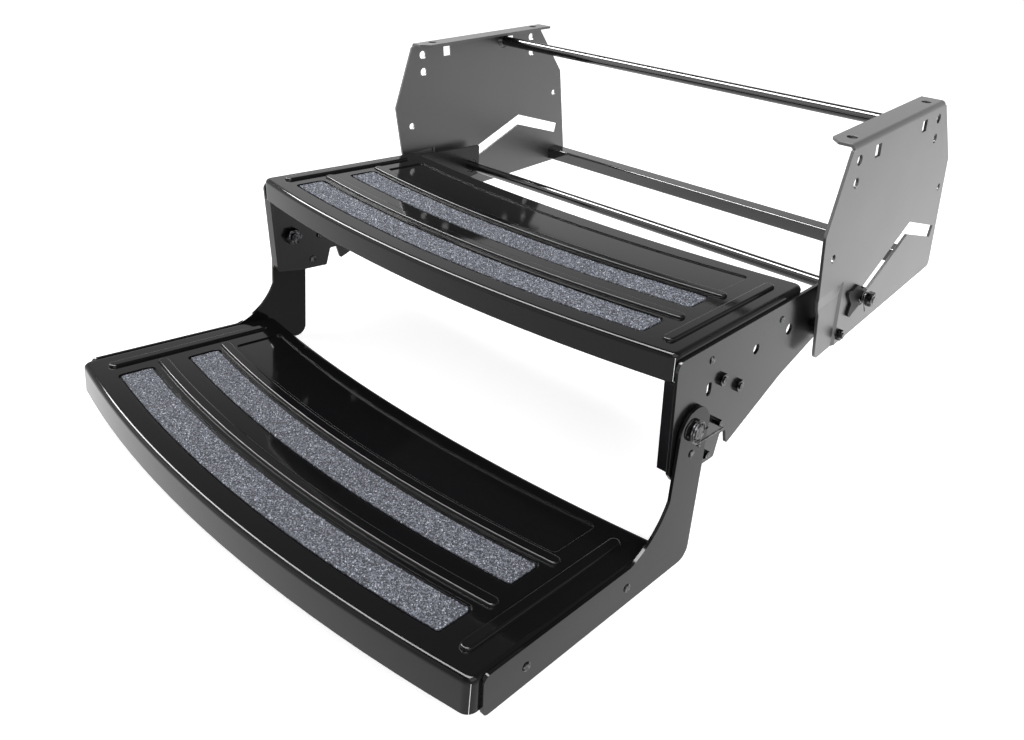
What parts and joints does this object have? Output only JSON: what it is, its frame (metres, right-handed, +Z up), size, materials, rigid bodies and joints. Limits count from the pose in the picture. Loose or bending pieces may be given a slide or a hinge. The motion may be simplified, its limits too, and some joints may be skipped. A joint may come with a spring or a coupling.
{
  "type": "camper entry step",
  "caption": "Pull-out camper entry step with two curved grip-strip treads: the lower step folds over the upper one, which slides back between slotted frame plates.",
  "frame": {"origin": "centre of the four flange bolt holes, on the top face of the frame plates' flanges", "axes": "+Z up, +Y towards the vehicle (stowing direction), the step is used from the -Y side, +X to the right for someone looking at the vehicle"},
  "size_m": [0.643, 0.7669, 0.3317],
  "materials": {
    "gloss_black_paint": "gloss black powder coat",
    "grip_strip": "speckled grey grit on a dark backing",
    "black_nylon": "smooth black nylon",
    "dark_steel": "dark plated steel",
    "spring_steel": "dark oiled spring wire",
    "black_fastener": "black plated steel with worn bright edges",
    "satin_black_lever": "satin black stamped steel"
  },
  "bodies": {
    "frame": {"frame_plate_left": "gloss_black_paint", "frame_plate_right": "gloss_black_paint", "top_cross_rod": "gloss_black_paint", "rear_cross_channel": "gloss_black_paint", "roller_bolts": "black_fastener", "roller_nuts": "black_fastener"},
    "roller_left": {"support_roller_left": "black_nylon"},
    "roller_right": {"support_roller_right": "black_nylon"},
    "slot_washers": {"slot_washer_left": "dark_steel", "slot_washer_right": "dark_steel"},
    "slot_bushes": {"slot_bush_left": "black_nylon", "slot_bush_right": "black_nylon"},
    "slot_rod": {"slot_rod": "gloss_black_paint", "slot_rod_nuts": "black_fastener", "catch_spring_left": "spring_steel", "catch_spring_right": "spring_steel"},
    "upper_step": {"upper_tread": "gloss_black_paint", "upper_strip_front": "grip_strip", "upper_strip_rear": "grip_strip", "upper_side_plate_left": "gloss_black_paint", "upper_side_plate_right": "gloss_black_paint", "support_rail_left": "gloss_black_paint", "support_rail_right": "gloss_black_paint", "upper_tread_rivets": "black_fastener", "brace_bolts": "black_fastener", "brace_nuts": "black_fastener", "pivot_bolts": "black_fastener", "pivot_nuts": "black_fastener", "pivot_washers": "dark_steel", "fold_spring_left": "spring_steel", "fold_spring_right": "spring_steel", "spring_studs": "black_fastener", "stop_pins": "black_fastener"},
    "lower_step": {"lower_tread": "gloss_black_paint", "lower_strip_front": "grip_strip", "lower_strip_rear": "grip_strip", "lower_arm_left": "gloss_black_paint", "lower_arm_right": "gloss_black_paint", "lower_tread_rivets": "black_fastener", "arm_rivets": "black_fastener"},
    "catch_lever_left": {"catch_lever_left": "satin_black_lever"},
    "catch_lever_right": {"catch_lever_right": "satin_black_lever"}
  },
  "joints": [
    {"name": "retract", "type": "hinge", "parent": "frame", "child": "slot_washers", "pos_m": [0, 0.06834, -0.32177], "axis": [-1, 0, 0], "range_deg": [0, 62.17]},
    {"name": "retract_bush_turn", "type": "hinge", "parent": "slot_washers", "child": "slot_bushes", "pos_m": [0, -0.03949, -0.17769], "axis": [1, 0, 0], "range_deg": [0, 558.5]},
    {"name": "retract_rod_turn", "type": "hinge", "parent": "slot_bushes", "child": "slot_rod", "pos_m": [0, -0.0422, -0.1764], "axis": [-1, 0, 0], "range_deg": [0, 496.3]},
    {"name": "retract_step_level", "type": "hinge", "parent": "slot_washers", "child": "upper_step", "pos_m": [0, -0.03949, -0.17769], "axis": [1, 0, 0], "range_deg": [0, 62.3]},
    {"name": "fold", "type": "hinge", "parent": "upper_step", "child": "lower_step", "pos_m": [0, -0.32382, -0.19719], "axis": [-1, 0, 0], "range_deg": [0, 176.5]},
    {"name": "roller_left_spin", "type": "hinge", "parent": "frame", "child": "roller_left", "pos_m": [0, -0.085, -0.204], "axis": [1, 0, 0], "continuous": true},
    {"name": "roller_right_spin", "type": "hinge", "parent": "frame", "child": "roller_right", "pos_m": [0, -0.085, -0.204], "axis": [1, 0, 0], "continuous": true},
    {"name": "catch_left", "type": "hinge", "parent": "slot_rod", "child": "catch_lever_left", "pos_m": [0, -0.0422, -0.1764], "axis": [-1, 0, 0], "range_deg": [0, 30], "stiffness_Nm_per_rad": 0.04, "springref_deg": -20.05},
    {"name": "catch_right", "type": "hinge", "parent": "slot_rod", "child": "catch_lever_right", "pos_m": [0, -0.0422, -0.1764], "axis": [-1, 0, 0], "range_deg": [0, 30], "stiffness_Nm_per_rad": 0.04, "springref_deg": -20.05}
  ],
  "couplings": [
    {"joint": "retract_bush_turn", "follows": "retract", "ratio": 8.9806},
    {"joint": "retract_rod_turn", "follows": "retract", "ratio": 7.9806},
    {"joint": "retract_step_level", "follows": "retract", "ratio": 1}
  ]
}
